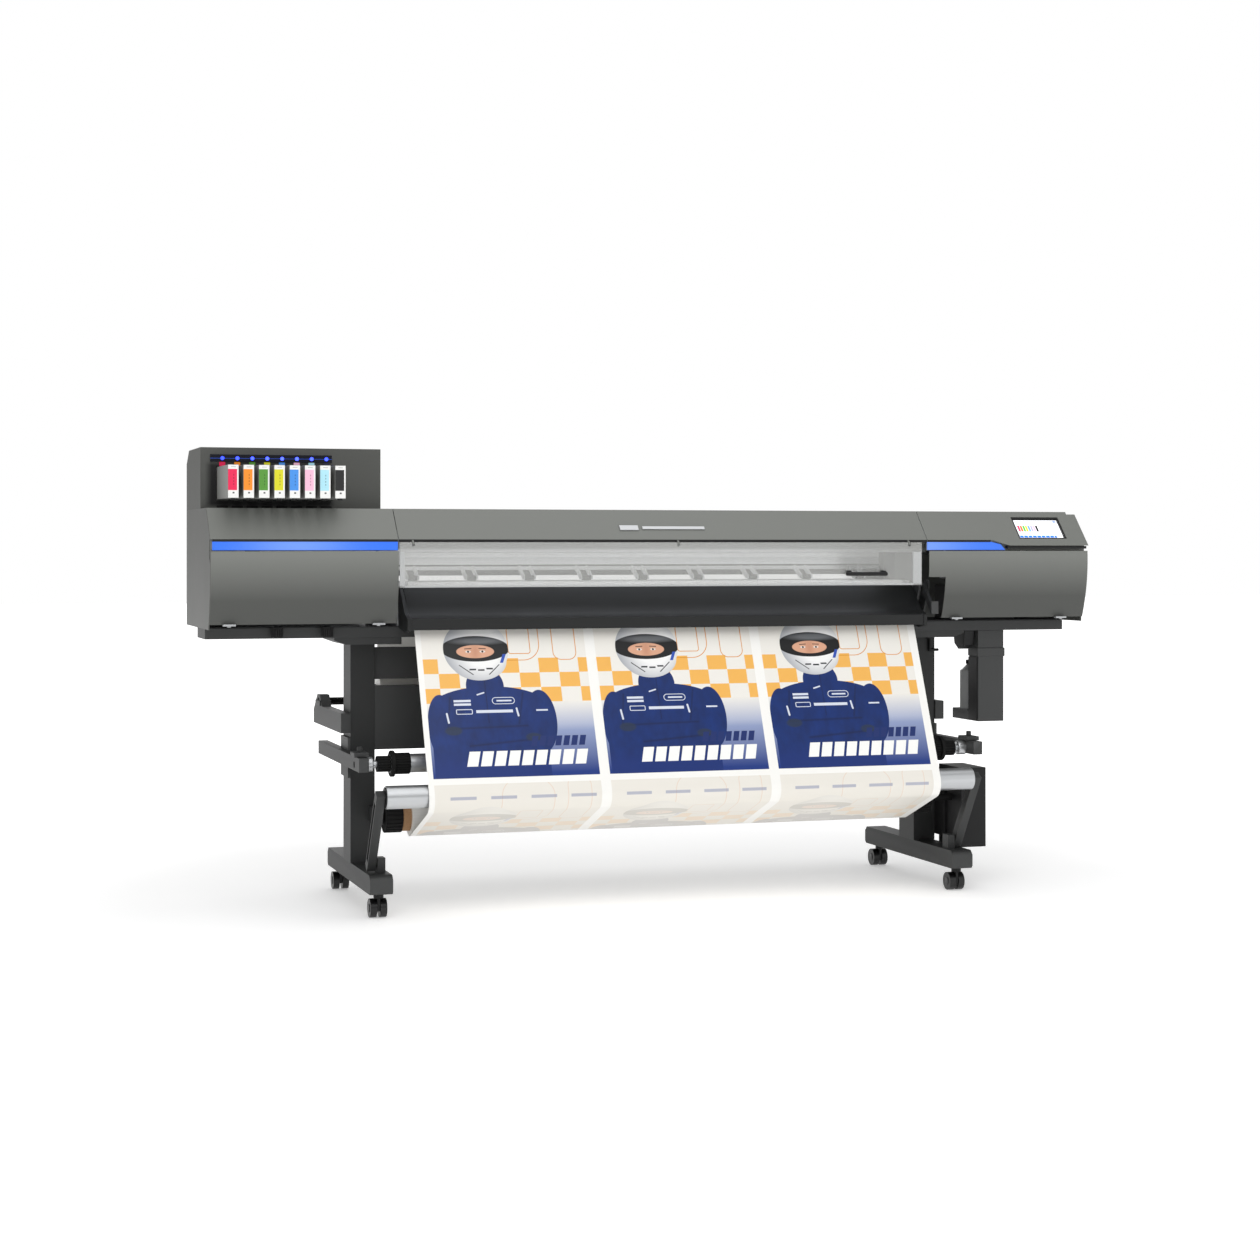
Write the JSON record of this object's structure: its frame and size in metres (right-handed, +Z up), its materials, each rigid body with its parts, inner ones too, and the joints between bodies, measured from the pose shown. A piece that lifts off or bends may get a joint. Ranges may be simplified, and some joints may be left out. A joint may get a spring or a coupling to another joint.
{
  "type": "printer cutter",
  "caption": "Wide roll-to-roll inkjet printer and cutter on a caster stand, with pouch ink box, hinged covers, take-up roll and tension bar.",
  "frame": {"origin": "centre of the bounding box at floor level", "axes": "+X along the machine to the operator's right, +Y to its back, +Z up"},
  "size_m": [2.827, 0.865, 1.39],
  "materials": {
    "stand_black": "satin",
    "frame_grey": "satin",
    "cover_grey": "satin",
    "hood_black": "satin",
    "window_clear": "polished",
    "black_plastic": "matte",
    "caster_black": "satin",
    "caster_tread": "matte",
    "screen": "gloss",
    "light_blue": "gloss",
    "ink_box_grey": "satin",
    "tray_grey": "satin",
    "aluminium": "brushed",
    "steel": "brushed",
    "carriage_black": "matte",
    "belt_rubber": "matte",
    "lever_grey": "satin",
    "tube_silver": "satin",
    "cardboard": "matte",
    "vinyl": "satin",
    "bottle": "translucent"
  },
  "bodies": {
    "machine": {"left_leg": "stand_black", "right_leg": "stand_black", "stretcher_panels": "stand_black", "base_frame": "frame_grey", "carriage_beam": "aluminium", "platen": "aluminium", "rear_casing": "cover_grey", "left_end_casing": "cover_grey", "right_end_casing": "cover_grey", "centre_top_cover": "cover_grey", "front_hood": "hood_black", "touch_panel": "screen", "light_bars": "light_blue", "ink_box": "ink_box_grey", "drive_belt": "belt_rubber", "drive_motor": "carriage_black", "capping_station": "carriage_black", "control_box": "steel", "media_web": "vinyl", "take_up_drive": "black_plastic", "roll_arms": "stand_black", "drain_unit": "frame_grey"},
    "window": {"window_cover": "window_clear", "window_handle": "black_plastic"},
    "left_cover": {"left_front_cover": "cover_grey"},
    "right_cover": {"right_front_cover": "cover_grey"},
    "tray_1": {"ink_tray_1": "tray_grey"},
    "tray_2": {"ink_tray_2": "tray_grey"},
    "tray_3": {"ink_tray_3": "tray_grey"},
    "tray_4": {"ink_tray_4": "tray_grey"},
    "tray_5": {"ink_tray_5": "tray_grey"},
    "tray_6": {"ink_tray_6": "tray_grey"},
    "tray_7": {"ink_tray_7": "tray_grey"},
    "tray_8": {"ink_tray_8": "tray_grey"},
    "carriage": {"print_carriage": "carriage_black", "print_heads": "steel"},
    "cutter": {"cutter_carriage": "carriage_black"},
    "drive_pulley": {"drive_pulley": "aluminium"},
    "idler_pulley": {"idler_pulley": "aluminium"},
    "feed_roller": {"feed_roller": "steel"},
    "lever": {"loading_lever": "lever_grey"},
    "pinch_frame": {"pinch_arms": "steel"},
    "pinch_rollers": {"pinch_rollers": "belt_rubber"},
    "tension_arms": {"tension_arms": "stand_black"},
    "tension_bar": {"tension_bar": "tube_silver"},
    "take_up_roll": {"take_up_core": "cardboard", "take_up_flanges": "black_plastic", "wound_media": "vinyl"},
    "guide_tube": {"guide_tube": "tube_silver"},
    "supply_roll": {"supply_roll": "vinyl"},
    "drain_bottle": {"drain_bottle": "bottle"},
    "power_switch": {"power_switch": "black_plastic"},
    "front_left_caster": {"front_left_fork": "caster_black"},
    "front_left_wheel": {"front_left_wheels": "caster_tread"},
    "rear_left_caster": {"rear_left_fork": "caster_black"},
    "rear_left_wheel": {"rear_left_wheels": "caster_tread"},
    "front_right_caster": {"front_right_fork": "caster_black"},
    "front_right_wheel": {"front_right_wheels": "caster_tread"},
    "rear_right_caster": {"rear_right_fork": "caster_black"},
    "rear_right_wheel": {"rear_right_wheels": "caster_tread"}
  },
  "joints": [
    {"name": "window_hinge", "type": "hinge", "parent": "machine", "child": "window", "pos_m": [0, -0.2775, 1.103], "axis": [-1, 0, 0], "range_deg": [0, 80]},
    {"name": "left_cover_hinge", "type": "hinge", "parent": "machine", "child": "left_cover", "pos_m": [-1.1, -0.272, 1.074], "axis": [-1, 0, 0], "range_deg": [0, 70]},
    {"name": "right_cover_hinge", "type": "hinge", "parent": "machine", "child": "right_cover", "pos_m": [1.1, -0.272, 1.074], "axis": [-1, 0, 0], "range_deg": [0, 70]},
    {"name": "ink_tray_1_slide", "type": "slide", "parent": "machine", "child": "tray_1", "axis": [0, -1, 0], "range_m": [0, 0.18]},
    {"name": "ink_tray_2_slide", "type": "slide", "parent": "machine", "child": "tray_2", "axis": [0, -1, 0], "range_m": [0, 0.18]},
    {"name": "ink_tray_3_slide", "type": "slide", "parent": "machine", "child": "tray_3", "axis": [0, -1, 0], "range_m": [0, 0.18]},
    {"name": "ink_tray_4_slide", "type": "slide", "parent": "machine", "child": "tray_4", "axis": [0, -1, 0], "range_m": [0, 0.18]},
    {"name": "ink_tray_5_slide", "type": "slide", "parent": "machine", "child": "tray_5", "axis": [0, -1, 0], "range_m": [0, 0.18]},
    {"name": "ink_tray_6_slide", "type": "slide", "parent": "machine", "child": "tray_6", "axis": [0, -1, 0], "range_m": [0, 0.18]},
    {"name": "ink_tray_7_slide", "type": "slide", "parent": "machine", "child": "tray_7", "axis": [0, -1, 0], "range_m": [0, 0.18]},
    {"name": "ink_tray_8_slide", "type": "slide", "parent": "machine", "child": "tray_8", "axis": [0, -1, 0], "range_m": [0, 0.18]},
    {"name": "carriage_slide", "type": "slide", "parent": "machine", "child": "carriage", "axis": [-1, 0, 0], "range_m": [0, 1.95]},
    {"name": "cutter_slide", "type": "slide", "parent": "machine", "child": "cutter", "axis": [1, 0, 0], "range_m": [0, 0.24]},
    {"name": "drive_pulley_spin", "type": "hinge", "parent": "machine", "child": "drive_pulley", "pos_m": [1.3455, 0.06, 1.15], "axis": [0, 0, 1], "continuous": true},
    {"name": "idler_pulley_spin", "type": "hinge", "parent": "machine", "child": "idler_pulley", "pos_m": [-1.3455, 0.06, 1.15], "axis": [0, 0, 1], "continuous": true},
    {"name": "feed_roller_spin", "type": "hinge", "parent": "machine", "child": "feed_roller", "pos_m": [0.0105, 0.075, 0.9732], "axis": [1, 0, 0], "continuous": true},
    {"name": "loading_lever_turn", "type": "hinge", "parent": "machine", "child": "lever", "pos_m": [0.883, -0.165, 0.973], "axis": [-1, 0, 0], "range_deg": [0, 35]},
    {"name": "pinch_lift", "type": "hinge", "parent": "machine", "child": "pinch_frame", "pos_m": [0.0105, 0.13, 1.0249], "axis": [-1, 0, 0], "range_deg": [0, 7]},
    {"name": "pinch_spin", "type": "hinge", "parent": "pinch_frame", "child": "pinch_rollers", "pos_m": [0.0105, 0.075, 0.9949], "axis": [1, 0, 0], "continuous": true},
    {"name": "tension_arm_swing", "type": "hinge", "parent": "machine", "child": "tension_arms", "pos_m": [0.0105, -0.255, 0.155], "axis": [-1, 0, 0], "range_deg": [0, 18]},
    {"name": "tension_bar_spin", "type": "hinge", "parent": "tension_arms", "child": "tension_bar", "pos_m": [0.0105, -0.39, 0.365], "axis": [1, 0, 0], "continuous": true},
    {"name": "take_up_spin", "type": "hinge", "parent": "machine", "child": "take_up_roll", "pos_m": [0.0105, -0.15, 0.282], "axis": [1, 0, 0], "continuous": true},
    {"name": "guide_tube_spin", "type": "hinge", "parent": "machine", "child": "guide_tube", "pos_m": [0.0105, -0.26, 0.451], "axis": [1, 0, 0], "continuous": true},
    {"name": "supply_roll_spin", "type": "hinge", "parent": "machine", "child": "supply_roll", "pos_m": [0.0105, 0.34, 0.6], "axis": [1, 0, 0], "continuous": true},
    {"name": "drain_bottle_lift", "type": "slide", "parent": "machine", "child": "drain_bottle", "axis": [0, 0, 1], "range_m": [0, 0.035]},
    {"name": "power_switch_rock", "type": "hinge", "parent": "machine", "child": "power_switch", "pos_m": [1.4045, 0.21, 0.904], "axis": [0, 0, 1], "range_deg": [-6, 6]},
    {"name": "front_left_swivel", "type": "hinge", "parent": "machine", "child": "front_left_caster", "pos_m": [-0.9225, -0.287, 0.074], "axis": [0, 0, 1], "continuous": true},
    {"name": "front_left_wheel_spin", "type": "hinge", "parent": "front_left_caster", "child": "front_left_wheel", "pos_m": [-0.9225, -0.269, 0.028], "axis": [1, 0, 0], "continuous": true},
    {"name": "rear_left_swivel", "type": "hinge", "parent": "machine", "child": "rear_left_caster", "pos_m": [-0.9225, 0.317, 0.074], "axis": [0, 0, 1], "continuous": true},
    {"name": "rear_left_wheel_spin", "type": "hinge", "parent": "rear_left_caster", "child": "rear_left_wheel", "pos_m": [-0.9225, 0.335, 0.028], "axis": [1, 0, 0], "continuous": true},
    {"name": "front_right_swivel", "type": "hinge", "parent": "machine", "child": "front_right_caster", "pos_m": [0.9435, -0.287, 0.074], "axis": [0, 0, 1], "continuous": true},
    {"name": "front_right_wheel_spin", "type": "hinge", "parent": "front_right_caster", "child": "front_right_wheel", "pos_m": [0.9435, -0.269, 0.028], "axis": [1, 0, 0], "continuous": true},
    {"name": "rear_right_swivel", "type": "hinge", "parent": "machine", "child": "rear_right_caster", "pos_m": [0.9435, 0.317, 0.074], "axis": [0, 0, 1], "continuous": true},
    {"name": "rear_right_wheel_spin", "type": "hinge", "parent": "rear_right_caster", "child": "rear_right_wheel", "pos_m": [0.9435, 0.335, 0.028], "axis": [1, 0, 0], "continuous": true}
  ],
  "couplings": [
    {"joint": "drive_pulley_spin", "follows": "carriage_slide", "rad_per_m": 65.359},
    {"joint": "idler_pulley_spin", "follows": "carriage_slide", "rad_per_m": 65.359},
    {"joint": "pinch_lift", "follows": "loading_lever_turn", "ratio": 0.2}
  ]
}
